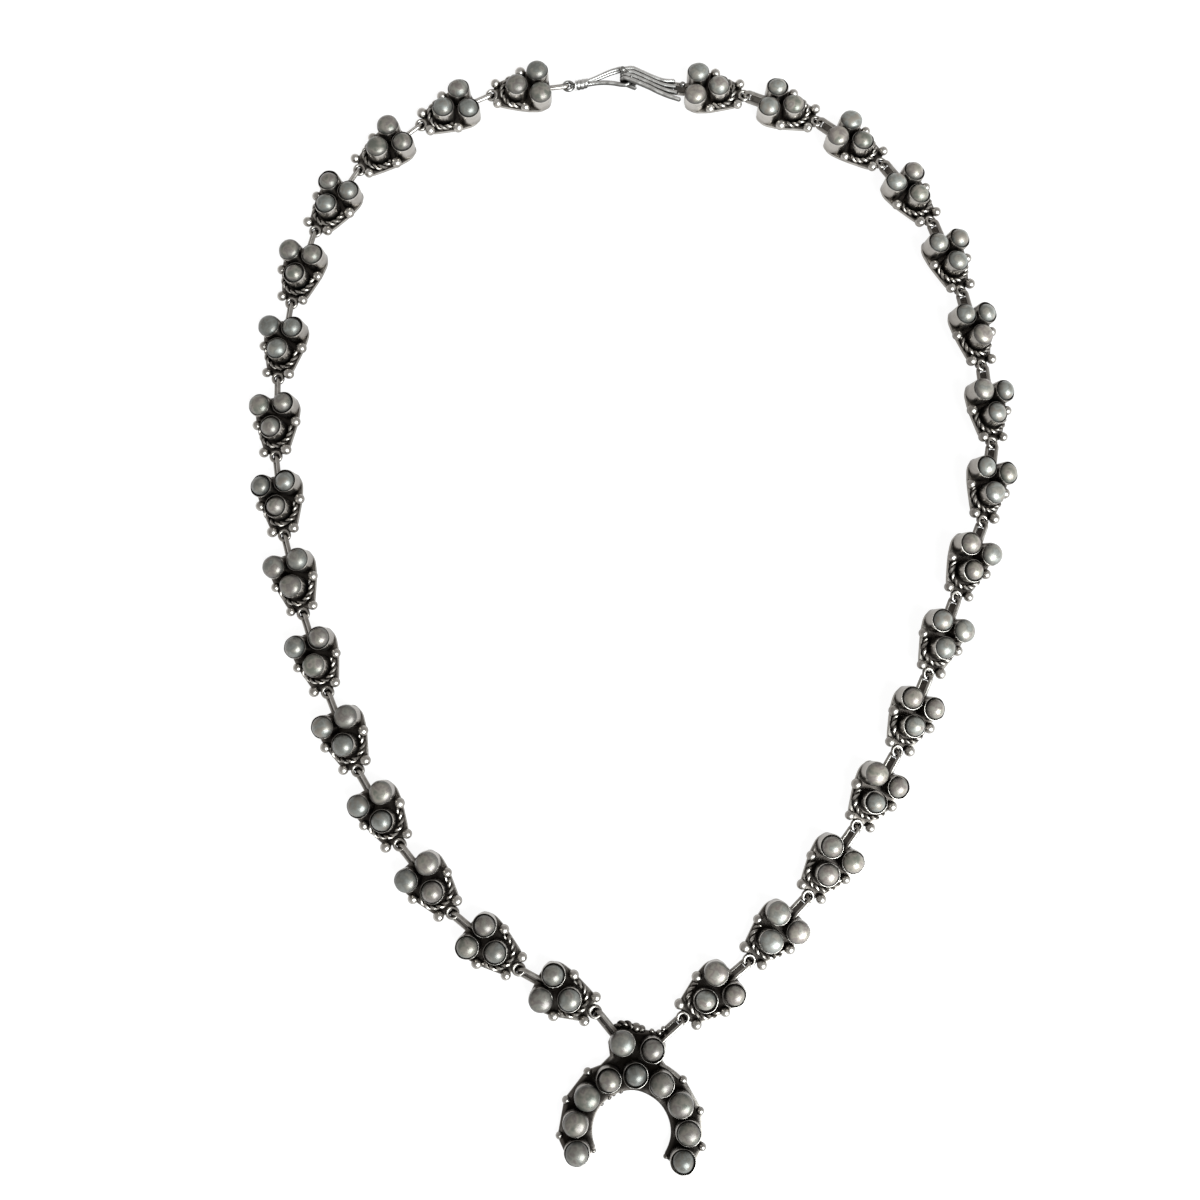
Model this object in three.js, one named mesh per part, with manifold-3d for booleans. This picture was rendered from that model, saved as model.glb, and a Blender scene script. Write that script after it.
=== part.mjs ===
// Squash blossom necklace lying flat: thirty three-pearl links, a horseshoe pendant and a hook and eye.
// Millimetres, +Z up, the pendant towards -Y and the clasp towards +Y.
import * as THREE from "three";
import { mergeVertices } from "three/addons/utils/BufferGeometryUtils.js";
import Module from "manifold-3d";

const wasm = await Module();
wasm.setup();

// Chain
const LINKS_PER_SIDE = 15;
const LINK_PITCH = 14.25; // from one joint to the next
const ROLL_RIGHT = 20; // degrees that the middle links of a side lean outwards
const ROLL_LEFT = 12;

// Link, seen from above: two pearls at the clasp end, one at the pendant end
const PAIR_SPACING = 4.1; // between the middles of the two at the clasp end
const PAIR_SETBACK = 4.1; // from the single pearl back to those two
const TIP_REACH = 5.25; // from the single pearl to the joint at the pendant end
const BEZEL_RADIUS = 2.02;
const BEZEL_HEIGHT = 2.6; // above the backplate
const DOME_HEIGHT = 1.3; // of a pearl above its bezel
const DOME_SHOULDER = { out: 0.7, up: 0.68 }; // shares of a pearl's radius and of its dome's height
const PLATE_THICKNESS = 0.85;
const PLATE_MARGIN = 0.15; // of the backplate round the bezels
const PLATE_CORNER_STEP = 55; // degrees between its corners round a pearl
const SIDE_LOBE_BACK = 1.1; // lobes that carry granules: from the single pearl towards the wide end
const SIDE_LOBE_OUT = 3.9; // and from the middle line
const TIP_LOBE_BACK = 1.45; // from the joint at the pendant end
const TIP_LOBE_OUT = 2.3;

// Rings that join the links
const WIRE_RADIUS = 0.27;
const RING_RADIUS = 0.88; // of the round ring, to the middle of its wire
const BAIL_RADIUS = 0.8; // of the oval loop's round end, to the middle of its wire
const JOINT_CLEARANCE = 0.16; // between the two wires along the chain
const AXIS_HEIGHT = 0.93; // of the rings' middle over the back of a link
const RING_TILT = -5; // degrees about the chain, of the round ring
const BAIL_TILT = 50;

// Pendant
const NAJA_DROP = 17.85; // from the chain's joints to the middle of the horseshoe
const NAJA_JOINT_SPAN = 13.56; // between the two joints
const NAJA_TURN = -4.4; // degrees that the pendant lies turned
const NAJA_ARC_RADIUS = 9.1; // to the middles of the pearls
const NAJA_ARC_PEARLS = 9;
const NAJA_PEARL_ANGLE = 27.9; // degrees between neighbours on the horseshoe
const NAJA_INNER_RADIUS = 6.3;
const NAJA_OUTER_RADIUS = 11.4;
const NAJA_ARM_ANGLE = 30; // degrees that the arms reach below the horseshoe's middle
const NAJA_NECK_ANGLE = 65; // where the backplate's outer arc turns up to the upper pearls
const CROWN_PEARL_OUT = 2.45; // of the two upper pearls from the middle line
const CROWN_PEARL_RISE = 13.5; // over the middle of the horseshoe
const CROWN_SKEW = 0.35; // that the left one stands over that, and the right one under it
const CROWN_MARGIN = 2.35; // of the backplate round the upper pearls' middles
const NAJA_BEZEL_RADIUS = 2.08;
const NAJA_PEARL_RADIUS = 1.95;
const SEAT_GAP = 0.25; // under a pendant pearl
const EDGE_GRANULE_RADIUS = 0.7;
const EDGE_GRANULE_OUT = 0.2; // beyond the backplate's outer edge
const ARM_GRAIN_RADIUS = 0.5;
const KNOB_RADIUS = 0.8; // of the grain over the upper pearls
const KNOB_RISE = 16.0; // over the middle of the horseshoe

// Clasp
const EYE_LENGTH = 12.0; // from its joint to the middle of the wire at its end
const EYE_HALF_WIDTH = 1.65;
const EYE_WIRE_RADIUS = 0.38;
const EYE_END_HEIGHT = 1.6;
const NECK_LENGTH = 2.8; // wrapped neck between the eye's ring and its loop
const NECK_RADIUS = 0.7;
const HOOK_LENGTH = 9.2; // from its joint to the outside of its bend
const HOOK_PLAY = 0.95; // from the eye's end wire to the inside of the hook's bend
const HOOK_BEND_RADIUS = 1.05;
const HOOK_THICKNESS = 0.6;
const HOOK_HALF_WIDTH = 0.95;
const HOOK_FAN_HALF_WIDTH = 1.75; // of its broad end, which lies over the joint
const HOOK_FAN_REACH = 1.8; // past the joint
const HOOK_FAN_HEIGHT = 2.3;
const HOOK_STEM = { length: 0.8, width: 1.9 }; // block from the ring up to the band
const HOOK_TIP_LENGTH = 1.5; // of the end that turns back under the eye
const CLASP_BOW = 1.8; // that the middle of the clasp stands out from the line between its joints

const WIRE_SIDES = 5;
const BEZEL_SIDES = 10;

// The way that each side lies, from the pendant's joint to the clasp, chosen by hand.
// Shares of the lie's height, which is worked out below from the length of the chain.
const ROUTE_RIGHT = [[0.145, 0.088], [0.246, 0.228], [0.316, 0.385], [0.373, 0.547], [0.36, 0.716],
  [0.3, 0.872], [0.166, 0.973], [0.05, 0.996], [-0.03, 0.999]];
const ROUTE_LEFT = [[-0.155, 0.07], [-0.264, 0.203], [-0.333, 0.363], [-0.377, 0.53], [-0.378, 0.704],
  [-0.326, 0.87], [-0.19, 0.977], [-0.07, 1.0], [0.02, 1.0]];

const rad = THREE.MathUtils.degToRad;
const SILVER = new THREE.MeshStandardMaterial({ color: 0x8f8c88, metalness: 1.0, roughness: 0.35 });
const LINK_SILVER = new THREE.MeshStandardMaterial({ color: 0x85827e, metalness: 0.9, roughness: 0.4 });
const PEARL = new THREE.MeshStandardMaterial({ color: 0x9c9a98, metalness: 0.2, roughness: 0.25 });

// Solids

function solidOf(geometry) {
  const bare = geometry.clone();
  bare.deleteAttribute("normal");
  bare.deleteAttribute("uv");
  const merged = mergeVertices(bare, 1e-4);
  const corners = merged.index.array;
  const kept = [];
  for (let i = 0; i < corners.length; i += 3) {
    const [a, b, c] = [corners[i], corners[i + 1], corners[i + 2]];
    if (a !== b && b !== c && c !== a) kept.push(a, b, c);
  }
  return new wasm.Manifold(new wasm.Mesh({
    numProp: 3,
    vertProperties: new Float32Array(merged.attributes.position.array),
    triVerts: new Uint32Array(kept),
  }));
}

function fused(geometries) {
  return geometries.map(solidOf).reduce((whole, next) => whole.add(next));
}

function geometryOf(solid) {
  const mesh = solid.getMesh();
  const geometry = new THREE.BufferGeometry();
  geometry.setAttribute("position", new THREE.BufferAttribute(new Float32Array(mesh.vertProperties), 3));
  geometry.setIndex(new THREE.BufferAttribute(new Uint32Array(mesh.triVerts), 1));
  geometry.computeVertexNormals();
  return geometry;
}

// A turned piece from its profile of [radius, height] pairs
function turned(profile, sides, x = 0, y = 0) {
  const points = profile.map(([r, z]) => new THREE.Vector2(r, z));
  return new THREE.LatheGeometry(points, sides).rotateX(Math.PI / 2).translate(x, y, 0);
}

function sheet(outline, thickness) {
  const shape = new THREE.Shape(outline.map(([x, y]) => new THREE.Vector2(x, y)));
  return new THREE.ExtrudeGeometry(shape, { depth: thickness, bevelEnabled: false });
}

function arcPoint(radius, degrees) {
  return [radius * Math.cos(rad(degrees)), radius * Math.sin(rad(degrees))];
}

function pathOf(points) {
  return new THREE.CatmullRomCurve3(points.map((p) => new THREE.Vector3(...p)), false, "centripetal");
}

// A round wire whose sections stand at the given points
function wire(points, radius) {
  const corners = Array.from({ length: WIRE_SIDES }, (_, i) => arcPoint(radius, (360 * i) / WIRE_SIDES));
  const section = new THREE.Shape(corners.map(([x, y]) => new THREE.Vector2(x, y)));
  const extrudePath = pathOf(points);
  extrudePath.getPointAt = extrudePath.getPoint;
  extrudePath.getTangentAt = extrudePath.getTangent;
  return new THREE.ExtrudeGeometry(section, { steps: points.length - 1, bevelEnabled: false, extrudePath });
}

function granule(radius, x, y, z) {
  return new THREE.OctahedronGeometry(radius).translate(x, y, z);
}

// Joints: a round ring of one piece holds the oval loop of the next

const RING_SETBACK = RING_RADIUS - WIRE_RADIUS - JOINT_CLEARANCE / 2; // ring's middle behind the joint
const RING_SEAT = 0.5 * RING_RADIUS; // metal that carries a ring ends this far behind its middle
const BAIL_OVERLAP = WIRE_RADIUS + JOINT_CLEARANCE / 2; // loop's wire past the joint

// Round ring round the origin for a chain that leaves towards +X; its back, in the metal, is left out
function ring() {
  const points = Array.from({ length: 9 }, (_, i) => [...arcPoint(RING_RADIUS, 32.5 * (i - 4)), 0]);
  return wire(points, WIRE_RADIUS).rotateX(rad(RING_TILT));
}

// Oval loop from the joint at the origin towards +X, with legs that end at the given length
function bail(length) {
  const arc = Array.from({ length: 6 }, (_, i) => {
    const [x, y] = arcPoint(BAIL_RADIUS, 270 - 36 * i);
    return [BAIL_RADIUS - BAIL_OVERLAP + x, y, 0];
  });
  const points = [[length, -BAIL_RADIUS, 0], ...arc, [length, BAIL_RADIUS, 0]];
  return wire(points, WIRE_RADIUS).rotateX(rad(BAIL_TILT));
}

// Link, with its wide end's joint at the origin, the chain along +X and its back at z = 0

const BEZEL_TOP = PLATE_THICKNESS + BEZEL_HEIGHT;
const SINGLE_PEARL_X = LINK_PITCH - TIP_REACH;
const PAIR_X = SINGLE_PEARL_X - PAIR_SETBACK;
const PAIR_Y = PAIR_SPACING / 2;
const RING_X = LINK_PITCH - RING_SETBACK;
const PLATE_RADIUS = BEZEL_RADIUS + PLATE_MARGIN;

function pearlInBezel(x, y) {
  return turned([
    [0, PLATE_THICKNESS / 2],
    [BEZEL_RADIUS, PLATE_THICKNESS / 2],
    [BEZEL_RADIUS, BEZEL_TOP],
    [DOME_SHOULDER.out * BEZEL_RADIUS, BEZEL_TOP + DOME_SHOULDER.up * DOME_HEIGHT],
    [0, BEZEL_TOP + DOME_HEIGHT],
  ], BEZEL_SIDES, x, y);
}

// One half of the backplate's outline, on the side of +Y, from the wide end to the tip
function linkOutline() {
  const corner = (degrees) => {
    const [x, y] = arcPoint(PLATE_RADIUS / Math.cos(rad(PLATE_CORNER_STEP / 2)), degrees);
    return [PAIR_X + x, PAIR_Y + y];
  };
  return [
    [PAIR_X - PLATE_RADIUS, 0.7 * PAIR_Y],
    corner(85 + PLATE_CORNER_STEP),
    corner(85),
    [SINGLE_PEARL_X - SIDE_LOBE_BACK, SIDE_LOBE_OUT],
    [LINK_PITCH - TIP_LOBE_BACK, TIP_LOBE_OUT],
    [RING_X - RING_SEAT, RING_RADIUS + WIRE_RADIUS],
  ];
}

function linkPlate() {
  const half = linkOutline();
  const mirrored = half.map(([x, y]) => [x, -y]).reverse();
  return sheet([...mirrored, ...half].reverse(), PLATE_THICKNESS);
}

function linkSolid() {
  const pieces = [
    linkPlate(),
    pearlInBezel(SINGLE_PEARL_X, 0),
    ring().translate(RING_X, 0, AXIS_HEIGHT),
    bail(PAIR_X - 0.35 * BEZEL_RADIUS).translate(0, 0, AXIS_HEIGHT),
  ];
  for (const side of [1, -1]) {
    pieces.push(pearlInBezel(PAIR_X, side * PAIR_Y));
  }
  return fused(pieces);
}

// Pendant, with the middle of the horseshoe at the origin and its back at z = 0

function najaPearls() {
  const seats = [];
  for (let i = 0; i < NAJA_ARC_PEARLS; i += 1) {
    const angle = 90 - NAJA_PEARL_ANGLE * (i - (NAJA_ARC_PEARLS - 1) / 2);
    seats.push(arcPoint(NAJA_ARC_RADIUS, angle));
  }
  return [
    ...seats,
    [-CROWN_PEARL_OUT, CROWN_PEARL_RISE + CROWN_SKEW],
    [CROWN_PEARL_OUT, CROWN_PEARL_RISE - CROWN_SKEW],
  ];
}

function najaPlate() {
  const outer = [];
  const inner = [];
  for (let i = 0; i <= 6; i += 1) {
    outer.push(arcPoint(NAJA_OUTER_RADIUS, -NAJA_ARM_ANGLE + (i / 6) * (NAJA_NECK_ANGLE + NAJA_ARM_ANGLE)));
  }
  for (let i = 0; i <= 10; i += 1) {
    inner.push(arcPoint(NAJA_INNER_RADIUS, 180 + NAJA_ARM_ANGLE - (i / 10) * (180 + 2 * NAJA_ARM_ANGLE)));
  }
  const crown = [
    [CROWN_PEARL_OUT + CROWN_MARGIN, CROWN_PEARL_RISE],
    [CROWN_PEARL_OUT + 0.6 * CROWN_MARGIN, CROWN_PEARL_RISE + 0.9 * CROWN_MARGIN],
    [0.4 * CROWN_PEARL_OUT, CROWN_PEARL_RISE + CROWN_MARGIN],
  ];
  const right = [...outer, ...crown];
  const left = right.map(([x, y]) => [-x, y]).reverse();
  return sheet([...right, ...left, ...inner], PLATE_THICKNESS);
}

function najaBezel(x, y) {
  return turned([
    [0, PLATE_THICKNESS / 2],
    [NAJA_BEZEL_RADIUS, PLATE_THICKNESS / 2],
    [NAJA_BEZEL_RADIUS, BEZEL_TOP],
    [0, BEZEL_TOP],
  ], BEZEL_SIDES, x, y);
}

function najaPearl() {
  const bottom = BEZEL_TOP + SEAT_GAP;
  const height = DOME_HEIGHT - SEAT_GAP;
  return solidOf(turned([
    [0, bottom],
    [NAJA_PEARL_RADIUS, bottom],
    [DOME_SHOULDER.out * NAJA_PEARL_RADIUS, bottom + DOME_SHOULDER.up * height],
    [0, bottom + height],
  ], BEZEL_SIDES));
}

function najaSolid() {
  const pieces = [najaPlate(), ...najaPearls().map(([x, y]) => najaBezel(x, y))];
  const gaps = [1, 2, 3].map((k) => NAJA_PEARL_ANGLE * (k + 0.5));
  const bailAngle = Math.atan2(NAJA_DROP - CROWN_PEARL_RISE, NAJA_JOINT_SPAN / 2 - CROWN_PEARL_OUT);
  const bailLength = Math.hypot(NAJA_DROP - CROWN_PEARL_RISE, NAJA_JOINT_SPAN / 2 - CROWN_PEARL_OUT)
    - 0.6 * NAJA_BEZEL_RADIUS;
  for (const side of [1, -1]) {
    for (const angle of gaps) {
      const [x, y] = arcPoint(NAJA_OUTER_RADIUS + EDGE_GRANULE_OUT, 90 - angle);
      pieces.push(granule(EDGE_GRANULE_RADIUS, side * x, y, PLATE_THICKNESS));
    }
    const [armX, armY] = arcPoint(NAJA_INNER_RADIUS + ARM_GRAIN_RADIUS, -NAJA_ARM_ANGLE);
    pieces.push(granule(ARM_GRAIN_RADIUS, side * armX, armY, PLATE_THICKNESS));
    const loop = bail(bailLength).rotateZ(side > 0 ? Math.PI + bailAngle : -bailAngle);
    pieces.push(loop.translate((side * NAJA_JOINT_SPAN) / 2, NAJA_DROP, AXIS_HEIGHT));
  }
  pieces.push(granule(KNOB_RADIUS, 0, KNOB_RISE, PLATE_THICKNESS));
  return fused(pieces);
}

// Clasp, along +X from the joint of the eye to the joint of the hook

const HOOK_BEND_X = EYE_LENGTH - EYE_WIRE_RADIUS - HOOK_PLAY; // inside of the bend
const CLASP_SPAN = HOOK_BEND_X - HOOK_THICKNESS + HOOK_LENGTH;

// The clasp's curve away from the straight line between its joints
function bowed(solid) {
  return solid.warp((point) => {
    const share = Math.sin((Math.PI * Math.min(point[0], CLASP_SPAN)) / CLASP_SPAN);
    point[1] += CLASP_BOW * share ** 2;
  });
}

function eyeSolid() {
  const neckStart = RING_SETBACK + RING_SEAT;
  const neckEnd = neckStart + NECK_LENGTH;
  const reach = EYE_LENGTH - neckEnd;
  const rise = EYE_END_HEIGHT - AXIS_HEIGHT;
  const half = [
    { along: -0.1, out: 0.2 },
    { along: 0.35, out: 0.45 },
    { along: 0.62, out: 0.78 },
    { along: 0.8, out: 0.97 },
    { along: 0.93, out: 0.82 },
  ].map(({ along, out }) => [
    neckEnd + along * reach,
    out * EYE_HALF_WIDTH,
    AXIS_HEIGHT + Math.max(along, 0) * rise,
  ]);
  const mirrored = half.map(([x, y, z]) => [x, -y, z]).reverse();
  const neck = new THREE.CylinderGeometry(NECK_RADIUS, NECK_RADIUS, NECK_LENGTH, 8).rotateZ(Math.PI / 2);
  return fused([
    ring().rotateZ(Math.PI).translate(RING_SETBACK, 0, AXIS_HEIGHT),
    neck.translate(neckStart + NECK_LENGTH / 2, 0, AXIS_HEIGHT),
    wire([...half, [EYE_LENGTH, 0, EYE_END_HEIGHT], ...mirrored], EYE_WIRE_RADIUS),
  ]);
}

// Middle line of the hook in the X and Z plane, from its broad end over the top and round the bend
function hookLine() {
  const half = HOOK_THICKNESS / 2;
  const middle = HOOK_BEND_X - half + HOOK_BEND_RADIUS;
  const top = EYE_END_HEIGHT + HOOK_BEND_RADIUS;
  const fanEnd = CLASP_SPAN + HOOK_FAN_REACH;
  const run = fanEnd - middle;
  const bend = [90, 120, 150, 180, 210, 240, 270].map((degrees) => {
    const [x, z] = arcPoint(HOOK_BEND_RADIUS, degrees);
    return [middle + x, EYE_END_HEIGHT + z];
  });
  return [
    [fanEnd, HOOK_FAN_HEIGHT],
    [fanEnd - 0.3 * run, HOOK_FAN_HEIGHT],
    [fanEnd - 0.6 * run, (HOOK_FAN_HEIGHT + top) / 2],
    ...bend,
    [middle + HOOK_TIP_LENGTH, EYE_END_HEIGHT - HOOK_BEND_RADIUS],
  ];
}

function hookSolid() {
  const line = hookLine().map(([x, z]) => new THREE.Vector2(x, z));
  const edge = (side) => line.map((point, i) => {
    const before = line[Math.max(i - 1, 0)];
    const after = line[Math.min(i + 1, line.length - 1)];
    const along = after.clone().sub(before).normalize();
    return [point.x - side * along.y * (HOOK_THICKNESS / 2), point.y + side * along.x * (HOOK_THICKNESS / 2)];
  });
  const broad = line[0].x;
  const narrow = line[2].x;
  const outline = [...edge(1), ...edge(-1).reverse()];
  const side = sheet(outline, 2 * HOOK_FAN_HALF_WIDTH).rotateX(Math.PI / 2).translate(0, HOOK_FAN_HALF_WIDTH, 0);
  const far = HOOK_BEND_X - 2 * HOOK_THICKNESS;
  const plan = sheet([
    [far, -HOOK_HALF_WIDTH],
    [narrow, -HOOK_HALF_WIDTH],
    [broad - 1, -HOOK_FAN_HALF_WIDTH],
    [broad, -0.6 * HOOK_FAN_HALF_WIDTH],
    [broad, 0.6 * HOOK_FAN_HALF_WIDTH],
    [broad - 1, HOOK_FAN_HALF_WIDTH],
    [narrow, HOOK_HALF_WIDTH],
    [far, HOOK_HALF_WIDTH],
  ], 2 * (EYE_END_HEIGHT + HOOK_BEND_RADIUS)).translate(0, 0, -HOOK_THICKNESS);
  const foot = 0.5 * AXIS_HEIGHT;
  const stem = new THREE.BoxGeometry(HOOK_STEM.length, HOOK_STEM.width, HOOK_FAN_HEIGHT - foot)
    .translate(CLASP_SPAN - RING_SETBACK - RING_SEAT - HOOK_STEM.length / 2, 0, (HOOK_FAN_HEIGHT + foot) / 2);
  const band = solidOf(side).intersect(solidOf(plan));
  return band.add(fused([stem, ring().translate(CLASP_SPAN - RING_SETBACK, 0, AXIS_HEIGHT)]));
}

// The lie of the chain

function rollOf(side, number) {
  const most = side > 0 ? ROLL_RIGHT : ROLL_LEFT;
  return most * Math.sin((Math.PI * (number - 1)) / (LINKS_PER_SIDE - 1));
}

// Height of the chain's axis where a link leans by so much and rests on its outer edge
function axisHeight(degrees) {
  const halfWidth = Math.max(...linkOutline().map(([, y]) => y));
  return AXIS_HEIGHT * Math.cos(rad(degrees)) + halfWidth * Math.sin(rad(degrees));
}

// Joints of one side from the pendant on, each one pitch from the last, for a lie of the given height
function jointsAlong(route, start, height) {
  const curve = pathOf([[start.x, start.y, 0], ...route.map(([x, y]) => [x * height, y * height, 0])]);
  const joints = [start.clone()];
  let share = 0;
  while (joints.length <= LINKS_PER_SIDE) {
    const last = joints[joints.length - 1];
    let far = share;
    while (curve.getPoint(far).distanceTo(last) < LINK_PITCH && far < 1.5) far += 0.005;
    let near = far - 0.005;
    for (let i = 0; i < 30; i += 1) {
      const middle = (near + far) / 2;
      if (curve.getPoint(middle).distanceTo(last) < LINK_PITCH) near = middle;
      else far = middle;
    }
    share = far;
    joints.push(curve.getPoint(share));
  }
  return joints;
}

function layOut() {
  const turn = rad(NAJA_TURN);
  const reach = NAJA_JOINT_SPAN / 2;
  const starts = [1, -1].map((side) => new THREE.Vector3(
    side * reach * Math.cos(turn), side * reach * Math.sin(turn), 0));
  const chainLength = LINKS_PER_SIDE * LINK_PITCH;
  let small = 0.5 * chainLength;
  let large = 1.2 * chainLength;
  let sides = null;
  for (let i = 0; i < 40; i += 1) {
    const height = (small + large) / 2;
    sides = [jointsAlong(ROUTE_RIGHT, starts[0], height), jointsAlong(ROUTE_LEFT, starts[1], height)];
    const gap = sides[0][LINKS_PER_SIDE].x - sides[1][LINKS_PER_SIDE].x;
    if (gap < CLASP_SPAN) small = height;
    else large = height;
  }
  return sides;
}

// Frame with its X axis from one point to another and its top rolled about that axis
function frameAlong(from, to, roll) {
  const x = to.clone().sub(from).normalize();
  const y = new THREE.Vector3(0, 0, 1).cross(x).normalize();
  const z = x.clone().cross(y);
  const frame = new THREE.Matrix4().makeBasis(x, y, z);
  frame.multiply(new THREE.Matrix4().makeRotationX(rad(roll)));
  return frame.setPosition(from);
}

function place(mesh, frame, local = new THREE.Vector3()) {
  mesh.quaternion.setFromRotationMatrix(frame);
  mesh.position.copy(local.applyMatrix4(frame));
  return mesh;
}

function chainSide(name, side, joints, geometry) {
  const rolls = joints.map((_, i) => rollOf(side, LINKS_PER_SIDE - i));
  joints.forEach((joint, i) => {
    const ends = i === 0 || i === LINKS_PER_SIDE;
    joint.z = ends ? AXIS_HEIGHT : axisHeight(Math.max(rolls[i], rolls[i - 1]));
  });
  const meshes = [];
  for (let i = 0; i < LINKS_PER_SIDE; i += 1) {
    const frame = frameAlong(joints[i + 1], joints[i], -side * rolls[i]);
    const mesh = new THREE.Mesh(geometry, LINK_SILVER);
    mesh.name = `link_${name}_${String(LINKS_PER_SIDE - i).padStart(2, "0")}`;
    meshes.push(place(mesh, frame, new THREE.Vector3(0, 0, -AXIS_HEIGHT)));
  }
  return meshes.reverse();
}

function named(name, solid, material) {
  const mesh = new THREE.Mesh(geometryOf(solid), material);
  mesh.name = name;
  return mesh;
}

function naja() {
  const group = new THREE.Group();
  group.add(named("naja_frame", najaSolid(), SILVER));
  const pearl = geometryOf(najaPearl());
  najaPearls().forEach(([x, y], i) => {
    const mesh = new THREE.Mesh(pearl, PEARL);
    mesh.name = `naja_pearl_${String(i + 1).padStart(2, "0")}`;
    mesh.position.set(x, y, 0);
    group.add(mesh);
  });
  const turn = rad(NAJA_TURN);
  group.rotation.z = turn;
  group.position.set(NAJA_DROP * Math.sin(turn), -NAJA_DROP * Math.cos(turn), 0);
  return group;
}

function necklace() {
  const whole = new THREE.Group();
  const [right, left] = layOut();
  const link = geometryOf(linkSolid());
  whole.add(...chainSide("left", -1, left, link), ...chainSide("right", 1, right, link), naja());
  const clasp = frameAlong(left[LINKS_PER_SIDE], right[LINKS_PER_SIDE], 0);
  const below = new THREE.Vector3(0, 0, -AXIS_HEIGHT);
  whole.add(place(named("clasp_eye", eyeSolid(), SILVER), clasp, below.clone()));
  whole.add(place(named("clasp_hook", hookSolid(), SILVER), clasp, below.clone()));
  return whole;
}

// The origin lies under the middle of the whole, on the surface that it rests on
const part = new THREE.Group();
const whole = necklace();
const box = new THREE.Box3().setFromObject(whole, true);
whole.position.set(-(box.min.x + box.max.x) / 2, -(box.min.y + box.max.y) / 2, -box.min.z);
part.add(whole);

export default part;
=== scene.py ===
"""Looks of a squash blossom necklace: silver links, grey half pearls, a horseshoe pendant and a clasp.

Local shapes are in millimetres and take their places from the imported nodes, which are in metres.
"""

import math

import bpy
import numpy as np
from mathutils import Matrix, Vector


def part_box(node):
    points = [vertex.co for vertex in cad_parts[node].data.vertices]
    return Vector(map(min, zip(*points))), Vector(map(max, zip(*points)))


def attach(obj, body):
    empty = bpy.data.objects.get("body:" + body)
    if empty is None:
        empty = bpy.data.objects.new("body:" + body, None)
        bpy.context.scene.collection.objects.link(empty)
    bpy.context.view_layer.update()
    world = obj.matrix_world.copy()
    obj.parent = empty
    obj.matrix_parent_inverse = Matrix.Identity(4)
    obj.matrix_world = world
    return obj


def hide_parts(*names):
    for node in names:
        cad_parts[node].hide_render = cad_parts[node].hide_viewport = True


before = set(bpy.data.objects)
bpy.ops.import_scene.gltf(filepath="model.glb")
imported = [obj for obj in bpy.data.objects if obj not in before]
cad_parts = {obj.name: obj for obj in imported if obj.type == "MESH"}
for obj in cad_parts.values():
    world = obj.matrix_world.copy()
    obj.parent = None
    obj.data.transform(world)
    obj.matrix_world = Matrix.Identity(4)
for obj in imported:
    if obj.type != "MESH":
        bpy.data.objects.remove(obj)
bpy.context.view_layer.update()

MM = 0.001
WIRE_SIDES = 12
SHARP_ANGLE = 38  # degrees between two faces, from which their edge stays sharp

# Link, with its wide end's joint at the origin, the chain along +X and its back at z = 0
LINKS_PER_SIDE = 15
LINK_PITCH = 14.25
PAIR_SPACING = 4.1
PAIR_SETBACK = 4.1  # of the two pearls behind the single one
TIP_REACH = 5.25  # from the single pearl to the next link's joint
BEZEL_RADIUS = 2.02
BEZEL_WALL = 0.15
BEZEL_SIDES = 48
PLATE_THICKNESS = 0.85
PLATE_CORNER_STEP = 55
BEZEL_TOP = 3.45
DOME_TOP = 4.75
SIDE_LOBE_BACK = 1.1
SIDE_LOBE_OUT = 3.9
TIP_LOBE_BACK = 1.45
TIP_LOBE_OUT = 2.3
AXIS_HEIGHT = 0.93
WIRE_RADIUS = 0.3
BAIL_WIRE_RADIUS = 0.35
RING_RADIUS = 0.88
RING_SETBACK = 0.53
RING_TILT = -5
BAIL_RADIUS = 0.8
BAIL_OVERLAP = 0.35
BAIL_TILT = 50
SHADE_WEB_START = 0.72  # of the dark sheet between the loop's legs, which stands in for shade
SHADE_WEB_THICKNESS = 0.2
GRANULE_RADIUS = 0.9
GRANULE_SHARES = (0.9, 1.06)
GRANULE_SHIFT = 0.14
GRANULE_SIDES = 20
GRANULE_RINGS = 12
ROPE_RADIUS = 2.78  # of the twisted wire's middle line round the single pearl
ROPE_HALF_TURN = 103  # degrees from the single pearl's tip side to the wire's end
ROPE_RISE = 0.4  # of its middle line over the plate
STRAND_RADIUS = 0.26
STRAND_OFFSET = 0.24
STRAND_TWIST = 2.3  # millimetres along the rope for one turn

# Pearls
PEARL_SIDES = 32
PEARL_RINGS = 12
PEARL_LOW = -35  # degrees from the girdle to the dome's lowest ring
SINGLE_SHARES = (0.85, 1.02)  # of the bezel's mouth
PAIR_SHARES = (0.88, 1.04)
PAIR_LEAN = 3
PEARL_SINK = (0.2, 0.4)  # of a small pearl's girdle below the lip
DOME_SPREAD = (-0.15, 0.05)
LIGHT_SPREAD = (0.86, 1.14)
LEFT_LIGHT = 0.62  # painted light on the left links' pearls, where 1 is the fullest
RIGHT_LIGHT = 0.98
NAJA_LIGHT = 0.55

SINGLE_X = LINK_PITCH - TIP_REACH
PAIR_X = SINGLE_X - PAIR_SETBACK
PAIR_Y = PAIR_SPACING / 2
RING_X = LINK_PITCH - RING_SETBACK

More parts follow.
